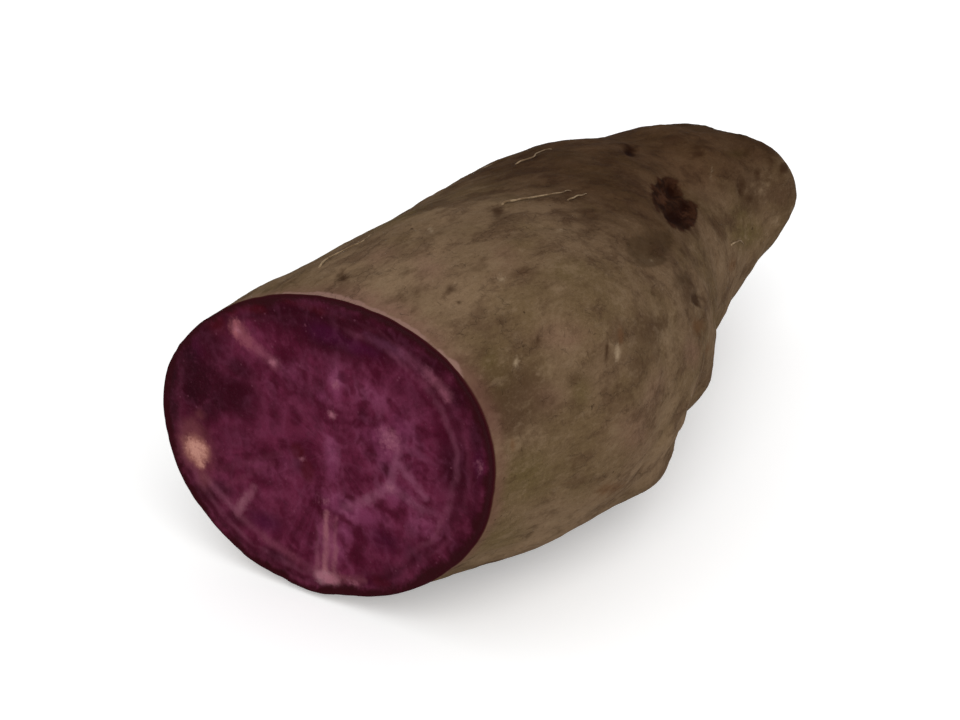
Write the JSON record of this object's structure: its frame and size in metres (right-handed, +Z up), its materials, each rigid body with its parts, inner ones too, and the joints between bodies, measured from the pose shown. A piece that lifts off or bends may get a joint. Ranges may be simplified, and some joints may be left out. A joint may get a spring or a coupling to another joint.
{
  "type": "purple sweet potato half",
  "caption": "Half of a purple sweet potato, cut across, lying on its side with the flat purple face upright and the root end tapering away.",
  "frame": {"origin": "on the surface the half lies on, under the middle of its bounding box", "axes": "+X from the flat cut face towards the root end, +Z up, +Y to the left when looking along +X"},
  "size_m": [0.121, 0.067, 0.0516],
  "materials": {
    "skin": "matte",
    "flesh": "satin",
    "rootlet": "matte"
  },
  "bodies": {
    "root": {"cut_tuber": "skin"}
  },
  "joints": []
}
